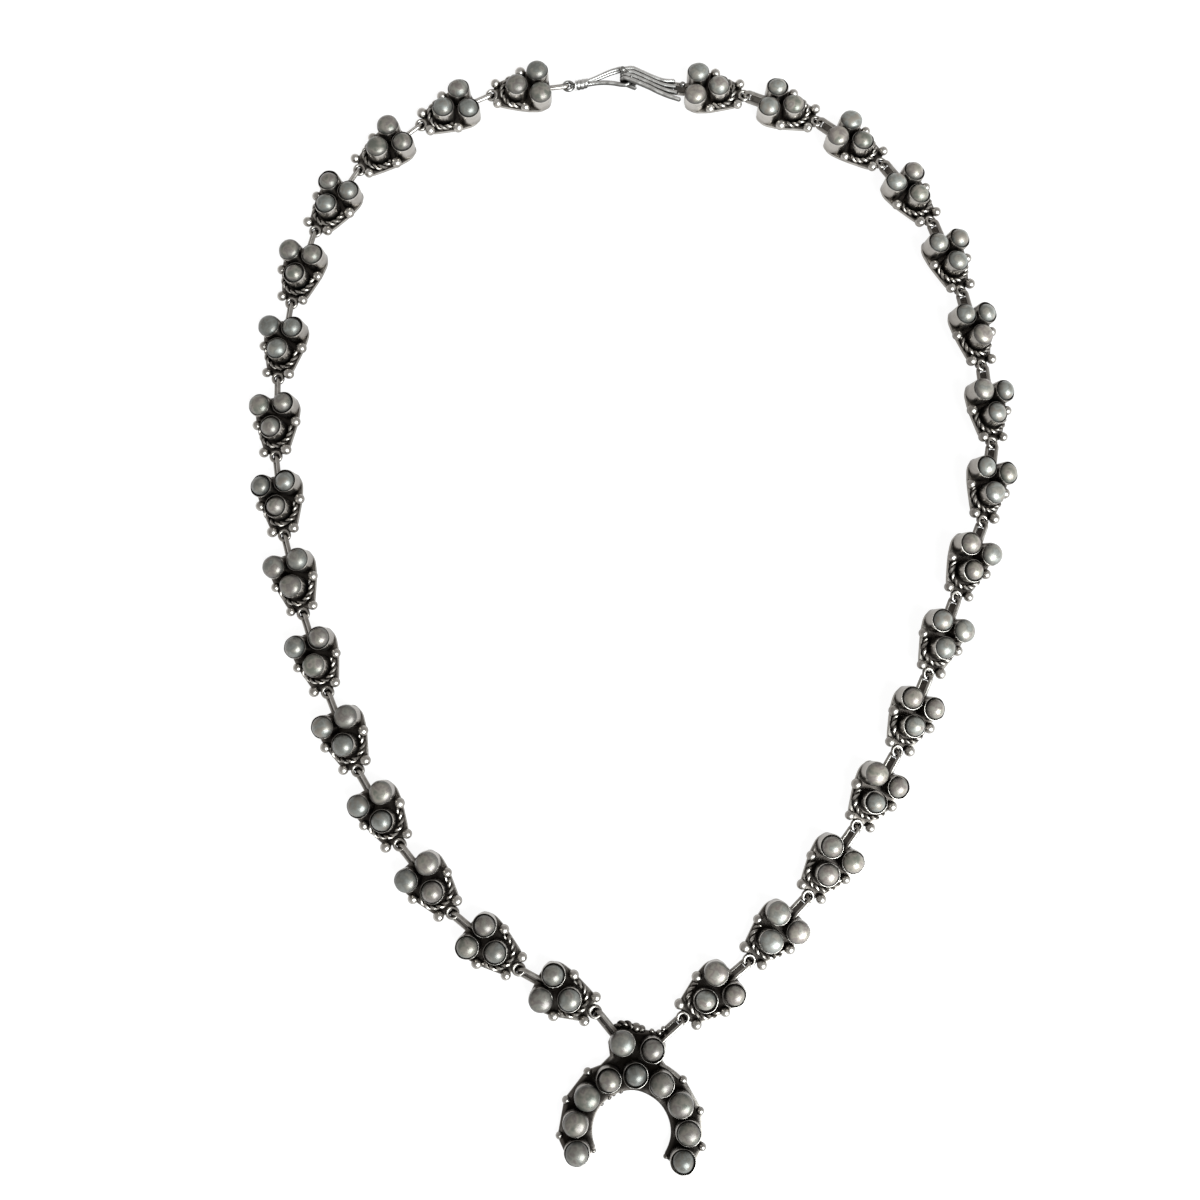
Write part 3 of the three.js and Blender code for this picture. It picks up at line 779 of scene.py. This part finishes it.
def dress_link(name, seed, light, brightening):
    """A link, with the painted light on its pearls and the brightness added to its silver."""
    random = np.random.RandomState(seed)
    matrix = link_frame(name)
    metal, stones = Shape(), Shape()
    plate, plate_shades = sheet(rounded(link_outline()), PLATE_THICKNESS)
    metal.add(uneven(plate, random, 0.06, pitch=3), plate_shades)
    mouth = BEZEL_RADIUS - BEZEL_WALL
    radius = mouth * random.uniform(*SINGLE_SHARES)
    set_pearl(metal, stones, random, SINGLE_X, 0, BEZEL_RADIUS, radius, light)
    for side in (1, -1):
        radius = mouth * random.uniform(*PAIR_SHARES)
        place = (PAIR_X, side * PAIR_Y)
        set_pearl(metal, stones, random, *place, BEZEL_RADIUS, radius, light, PAIR_LEAN, 90 * side)
    seats = [
        (SINGLE_X - SIDE_LOBE_BACK, SIDE_LOBE_OUT - 0.35),
        (LINK_PITCH - TIP_LOBE_BACK, TIP_LOBE_OUT - 0.25),
    ]
    for side in (1, -1):
        for x, out in seats:
            form, shades = grain(random, GRANULE_RADIUS * random.uniform(*GRANULE_SHARES))
            shift = random.uniform(-GRANULE_SHIFT, GRANULE_SHIFT, 2)
            height = PLATE_THICKNESS + 0.55 * GRANULE_RADIUS
            metal.add(moved(form, x + shift[0], side * out + shift[1], height), shades)
    line = arc(ROPE_RADIUS, ROPE_HALF_TURN, -ROPE_HALF_TURN, 130, PLATE_THICKNESS + ROPE_RISE)
    line = uneven((line, []), random, 0.1, pitch=2)[0]
    add_rope(metal, random, line, SINGLE_X)
    metal.add_wire(moved(ring(), RING_X, 0, AXIS_HEIGHT))
    bail_length = PAIR_X - 0.35 * BEZEL_RADIUS
    metal.add_wire(moved(bail(bail_length), z=AXIS_HEIGHT))
    # Painted shade: a dark sheet between the bail's legs
    metal.add(moved(shade_web(bail_length), z=AXIS_HEIGHT), 0.14)
    # A small plate under the ring, painted near black for the shade inside the ring
    tip = [[RING_X - 0.7, 0.8], [RING_X + 0.1, 0.7], [RING_X + 0.3, 0]]
    tip += [[x, -y] for x, y in reversed(tip[:2])]
    metal.add(moved(sheet(rounded(tip), 0.3, 0.05, 0.05)[0], z=0.02), 0.08)
    metal.shades = [shades + brightening for shades in metal.shades]
    metal.object(f"{name}_setting", matrix, LINK_SILVER, "silver", name)
    stones.object(f"{name}_pearls", matrix, PEARL, "pearl")


def polar(radius, degrees):
    """Place at a distance from the middle of the horseshoe, in a direction from +X."""
    return [radius * math.cos(math.radians(degrees)), radius * math.sin(math.radians(degrees))]


def naja_granule_angles():
    """Directions of the edge granules from the horseshoe's middle, from its right arm to its left."""
    return [90 - side * NAJA_PEARL_ANGLE * (k + 0.5) for side in (1, -1) for k in (3, 2, 1)]


def naja_outline():
    """Outline of the pendant's plate, up the right side, down the left and back along the inside."""
    low = -NAJA_ARM_ANGLE
    right = [
        polar(NAJA_INNER_RADIUS + 0.4, low - 1),
        polar(NAJA_ARC_RADIUS, low - 2),
        polar(NAJA_OUTER_RADIUS - 0.3, low),
        *[polar(NAJA_CORNER_RADIUS, angle) for angle in naja_granule_angles()[:3]],
        [0.5 * NAJA_OUTER_RADIUS, 0.86 * NAJA_OUTER_RADIUS],
        [CROWN_PEARL_OUT + 1.9, NAJA_OUTER_RADIUS - 0.1],
        [CROWN_PEARL_OUT + 2.35, CROWN_PEARL_RISE],
        [CROWN_PEARL_OUT + 1.5, CROWN_PEARL_RISE + 2.1],
        [0.4 * CROWN_PEARL_OUT, CROWN_PEARL_RISE + 2.35],
    ]
    left = [[-x, y] for x, y in reversed(right)]
    sweep = 180 + 2 * NAJA_ARM_ANGLE - 8
    inner = [polar(NAJA_INNER_RADIUS, 176 + NAJA_ARM_ANGLE - i / 40 * sweep) for i in range(41)]
    return right + left + inner


def naja_seats():
    """Places of the pendant's pearls, those on the horseshoe from its left arm to its right."""
    seats = []
    for i in range(NAJA_ARC_PEARLS):
        seats.append(polar(NAJA_ARC_RADIUS, 90 - NAJA_PEARL_ANGLE * (i - (NAJA_ARC_PEARLS - 1) / 2)))
    return seats + [
        [-CROWN_PEARL_OUT, CROWN_PEARL_RISE + CROWN_SKEW],
        [CROWN_PEARL_OUT, CROWN_PEARL_RISE - CROWN_SKEW],
    ]


def dress_naja():
    """The pendant."""
    random = np.random.RandomState(77)
    matrix = naja_frame()
    metal = Shape()
    plate, plate_shades = sheet(naja_outline(), PLATE_THICKNESS, rim=0.55)
    plate_shades[np.hypot(plate[0][:, 0], plate[0][:, 1]) < NAJA_INNER_RADIUS + 1] *= 0.45
    metal.add(uneven(plate, random, 0.1, pitch=2.2), plate_shades)
    ledge = rounded([[-4.7, 15.0], [-4.2, 16.1], [-2.8, 16.8], [-0.8, 16.6], [-0.8, 15.0]])
    metal.add(sheet(ledge, PLATE_THICKNESS)[0], 0.2)
    for i, ((x, y), radius) in enumerate(zip(naja_seats(), NAJA_PEARL_RADII), 1):
        stones = Shape()
        set_pearl(metal, stones, random, x, y, NAJA_BEZEL_RADIUS, radius, NAJA_LIGHT)
        node_name = f"naja_pearl_{i:02d}"
        stones.object(f"{node_name}_stone", matrix, PEARL, "pearl", node_name)

    def add_grain(x, y, radius, height=PLATE_THICKNESS, dim=1.0):
        form, shades = grain(random, radius)
        metal.add(moved(form, x, y, height), dim * shades)

    for angle in naja_granule_angles():
        x, y = polar(NAJA_OUTER_RADIUS + NAJA_GRANULE_OUT, angle + random.uniform(-1, 1))
        add_grain(x, y, random.uniform(*NAJA_GRANULE_RADII))
    for side in (1, -1):
        x, y = polar(NAJA_INNER_RADIUS + 0.45, -NAJA_ARM_ANGLE)
        add_grain(side * x, y, 0.42, PLATE_THICKNESS - 0.3, 0.6)
        rise, out = NAJA_DROP - CROWN_PEARL_RISE, NAJA_JOINT_SPAN / 2 - CROWN_PEARL_OUT
        length = math.hypot(rise, out) - 0.6 * NAJA_BEZEL_RADIUS
        lean = math.degrees(math.atan2(rise, out))
        place = [side * NAJA_JOINT_SPAN / 2, NAJA_DROP, AXIS_HEIGHT]
        turn = 180 + lean if side > 0 else -lean
        metal.add_wire(moved(bail(length), *place, turn))
        # Painted shade: a dark sheet between the loop's legs
        metal.add(moved(shade_web(length), *place, turn), 0.1)
    # Knob over the crown, and what little ornament is left round it
    add_grain(-0.35, 16.1, 0.8, PLATE_THICKNESS + 0.2, 0.75)
    add_grain(0.55, 15.95, 0.65, PLATE_THICKNESS + 0.1, 0.75)
    crest = [[-4.3, 15.4, 1.2], [-3.2, 16.5, 1.25], [-1.9, 16.7, 1.25], [-1.0, 16.3, 1.25]]
    add_rope(metal, random, smooth_path(crest, 70), dim=0.6)
    for x, y, radius in [(2.2, 15.75, 0.42), (3.4, 15.6, 0.5), (4.6, 15.1, 0.45), (4.1, 16.3, 0.4)]:
        add_grain(x, y, radius, PLATE_THICKNESS + 0.1)
    # Half-round edge beside the upper right pearl, and rough bits inside the left arm
    edge = smooth_path([[*polar(NAJA_OUTER_RADIUS - 0.1, a), 0.75] for a in (70, 63, 56, 51)], 24)
    metal.add_wire(tube(edge, 0.42), 0.3, 0.75)
    for angle, radius in [(143, 0.36), (129, 0.45), (121, 0.34), (110, 0.4)]:
        add_grain(*polar(NAJA_INNER_RADIUS + 0.02, angle), radius, 0.5, 0.3)
    metal.object("naja_setting", matrix, NAJA_SILVER, "silver", "naja_frame")


def clasp_frame():
    """Matrix of the clasp's own frame, between the joints of the two upper links."""
    joint = Vector((0, 0, AXIS_HEIGHT * MM))
    left = link_frame("link_left_01") @ joint
    right = link_frame("link_right_01") @ joint
    along = (right - left).normalized()
    across = Vector((0, 0, 1)).cross(along).normalized()
    return axes_matrix(along, across, along.cross(across), left)


HOOK_BEND_X = EYE_LENGTH - CAD_EYE_WIRE_RADIUS - HOOK_PLAY
CLASP_SPAN = HOOK_BEND_X - HOOK_THICKNESS + HOOK_LENGTH


def bowed(form):
    """A form of the clasp, curved away from the line between its joints."""
    points, faces = form
    points = np.asarray(points, float).copy()
    share = np.sin(math.pi * np.minimum(points[:, 0], CLASP_SPAN) / CLASP_SPAN)
    points[:, 1] += CLASP_BOW * share ** 2
    return points, faces


def hoop(x, radius, wire):
    """A closed ring of wire round the X axis."""
    round_line = arc(radius, 0, 348, 30)
    return tube(np.stack([np.full(30, x), round_line[:, 0], round_line[:, 1]], 1), wire, 10, closed=True)


def dress_eye():
    """The clasp's left half: a ring, a wrapped neck and a long loop of wire."""
    matrix = clasp_frame()
    metal = Shape()
    seat = RING_SETBACK + 0.5 * RING_RADIUS
    neck_end = seat + NECK_LENGTH
    reach = EYE_LENGTH - neck_end
    rise = EYE_END_HEIGHT - AXIS_HEIGHT
    metal.add_wire(moved(ring(), RING_SETBACK))
    neck = smooth_path([[seat, 0, 0], [neck_end + 0.3, 0, 0.05]], 12)
    metal.add_wire(bowed(tube(neck, NECK_RADIUS)), 0.1, 0.4)
    metal.add(bowed(hoop(seat + HOOP_START, HOOP_RADIUS, HOOP_WIRE_RADIUS)), 1.0)
    # The wrapped wire round the neck, as (place along it, radius)
    bands = [
        (0, 0.6),
        (0.12, 0.9), (0.6, 0.92), (0.72, 0.8),
        (0.84, 0.9), (1.3, 0.92), (1.42, 0.8),
        (1.54, 0.86), (1.9, 0.84), (2.1, 0.5),
    ]
    sleeve = [[seat + SLEEVE_START + place, 0, 0] for place, _ in bands]
    radii = [radius for _, radius in bands]
    metal.add_wire(bowed(tube(sleeve, radii, SLEEVE_SIDES)), 0.15, 0.9, SLEEVE_SIDES)
    # The loop's upper half, as shares of its length and of its half width
    shares = [(-0.1, 0.12), (0.15, 0.26), (0.35, 0.45), (0.62, 0.78), (0.8, 0.97), (0.93, 0.82)]
    half = [[neck_end + far * reach, out * EYE_HALF_WIDTH, max(far, 0) * rise] for far, out in shares]
    loop = half + [[EYE_LENGTH, 0, rise]] + [[x, -y, z] for x, y, z in reversed(half)]
    line = smooth_path(loop, 110)
    metal.add_wire(bowed(tube(line, EYE_WIRE_RADIUS)), 0.12, 0.9)
    # A thinner second wire runs inside the upper side of the loop
    inner = line[8:52].copy()
    inner[:, 1] -= np.interp(inner[:, 0], [neck_end, neck_end + 2, EYE_LENGTH], [0.1, 0.45, 0.55])
    metal.add_wire(bowed(tube(inner, EYE_INNER_WIRE_RADIUS)), 0.12, 0.9)
    metal.object("clasp_eye_wire", matrix, POLISHED, "silver", "clasp_eye")


def dress_hook():
    """The clasp's right half: four wires side by side, bent back under the eye's end, and a ring."""
    matrix = clasp_frame()
    metal = Shape()
    half = HOOK_THICKNESS / 2
    middle = HOOK_BEND_X - half + HOOK_BEND_RADIUS
    top = EYE_END_HEIGHT + HOOK_BEND_RADIUS
    fan_end = CLASP_SPAN + HOOK_FAN_REACH
    run = fan_end - middle
    line = [
        [fan_end, HOOK_FAN_HEIGHT],
        [fan_end - 0.3 * run, HOOK_FAN_HEIGHT],
        [fan_end - 0.6 * run, (HOOK_FAN_HEIGHT + top) / 2],
    ]
    for degrees in (90, 120, 150, 180, 210, 240, 270):
        x, z = polar(HOOK_BEND_RADIUS, degrees)
        line.append([middle + x, EYE_END_HEIGHT + z])
    line.append([middle + HOOK_TIP_LENGTH, EYE_END_HEIGHT - HOOK_BEND_RADIUS])
    line = smooth_path([[x, 0, z - AXIS_HEIGHT] for x, z in line], 110)
    # Drawn together in the middle and spread at the broad end, the lowest wire reaching furthest
    stations = [HOOK_BEND_X, middle + 1, middle + 4.2, middle + 6.6, fan_end]
    for k, share in enumerate((1.0, 0.34, -0.33, -1.0)):
        spread = np.interp(line[:, 0], stations, [0.85, 1.2, 1.15, 1.3, 1.85])
        droop = np.interp(line[:, 0], stations, [0, 0.1, -0.35, -0.8, -1.3])
        strand = line.copy()
        strand[:, 1] = share * spread + droop
        strand = strand[(4, 3, 2, 0)[k]:]
        radii = np.interp(strand[:, 0], stations, [0.36, 0.47, 0.46, 0.44, 0.38])
        metal.add_wire(bowed(tube(strand, radii)), 0.1, 1.0)
    # The curl at the eye's end
    for turn, (x, y) in enumerate([(middle - 0.9, 0.75), (middle - 0.1, 0.2), (middle + 0.6, -0.35)]):
        knot = ball(KNOT_RADIUS - 0.05 * turn, 18, 12, 0.7)
        metal.add(bowed(moved(knot, x, y, top - AXIS_HEIGHT + 0.1)), 0.6)
    form, shades = grain(np.random.RandomState(5), 0.55)
    metal.add(moved(form, fan_end + 0.5, -0.1, HOOK_FAN_HEIGHT - AXIS_HEIGHT), shades)
    foot = CLASP_SPAN - RING_SETBACK - 0.5 * RING_RADIUS - 0.4
    stem = tube([[foot, 0, z] for z in (-0.45, 0.3, HOOK_FAN_HEIGHT - AXIS_HEIGHT)], [0.8, 0.75, 0.6])
    metal.add(stem, 0.3)
    metal.add_wire(moved(ring(), CLASP_SPAN - RING_SETBACK))
    metal.object("clasp_hook_wire", matrix, POLISHED, "silver", "clasp_hook")


# Scene

def make_camera():
    """The camera over the necklace's lower half, tipped a little towards the clasp."""
    data = bpy.data.cameras.new("camera")
    data.lens = CAMERA_LENS
    data.sensor_width = SENSOR_WIDTH
    data.clip_start = 0.01
    camera = bpy.data.objects.new("camera", data)
    camera.location = CAMERA_PLACE
    camera.rotation_mode = "QUATERNION"
    camera.rotation_quaternion = Vector(CAMERA_LOOK).to_track_quat("-Z", "Y")
    bpy.context.scene.collection.objects.link(camera)
    bpy.context.scene.camera = camera


def make_floor():
    """The white ground."""
    size = FLOOR_HALF * MM
    corners = [(-size, -size, 0), (size, -size, 0), (size, size, 0), (-size, size, 0)]
    mesh = bpy.data.meshes.new("floor")
    mesh.from_pydata(corners, [], [(0, 1, 2, 3)])
    mesh.materials.append(floor_material())
    floor = bpy.data.objects.new("floor", mesh)
    floor.location.z = -FLOOR_DROP * MM
    bpy.context.scene.collection.objects.link(floor)


def area_light(name, azimuth, elevation, distance, size, watts, colour):
    """A soft square light that looks at the middle of the necklace."""
    data = bpy.data.lights.new(name, "AREA")
    data.size = size
    data.energy = watts
    data.color = colour
    light = bpy.data.objects.new(name, data)
    a, e = math.radians(azimuth), math.radians(elevation)
    away = Vector((math.cos(a) * math.cos(e), math.sin(a) * math.cos(e), math.sin(e)))
    light.location = away * distance
    light.rotation_mode = "QUATERNION"
    light.rotation_quaternion = (-away).to_track_quat("-Z", "Y")
    bpy.context.scene.collection.objects.link(light)


def make_world():
    """A bright room with a darker ceiling over the necklace."""
    world = bpy.data.worlds.new("room")
    bpy.context.scene.world = world
    world.use_nodes = True
    tree = world.node_tree
    direction = node(tree, "ShaderNodeTexCoord")
    parts = node(tree, "ShaderNodeSeparateXYZ")
    tree.links.new(direction.outputs["Generated"], parts.inputs[0])
    sky = ramp(tree, parts.outputs["Z"], [
        (0.0, (0.51, 0.5, 0.49)),
        (0.55, (0.43, 0.42, 0.41)),
        (0.85, (0.34, 0.332, 0.322)),
        (1.0, (0.26, 0.252, 0.243)),
    ])
    tree.links.new(sky.outputs["Color"], tree.nodes["Background"].inputs["Color"])


def make_lights():
    """A window on the pendant's right, and the room's own light."""
    area_light("window", azimuth=-47, elevation=40, distance=1.1, size=0.8, watts=26,
               colour=(0.94, 0.99, 1.0))
    make_world()
    bpy.context.scene.view_settings.view_transform = "Standard"


make_camera()
make_floor()
make_lights()
# The right side's pearls are painted in more light than the left's, and brightness is added to the
# silver of the links near the clasp
for side_number, (side_name, light) in enumerate([("left", LEFT_LIGHT), ("right", RIGHT_LIGHT)]):
    for number in range(1, LINKS_PER_SIDE + 1):
        brightening = np.interp(number, [2, 6], [CLASP_BRIGHTENING, 0])
        dress_link(f"link_{side_name}_{number:02d}", 100 * side_number + number, light, brightening)
dress_naja()
dress_eye()
dress_hook()
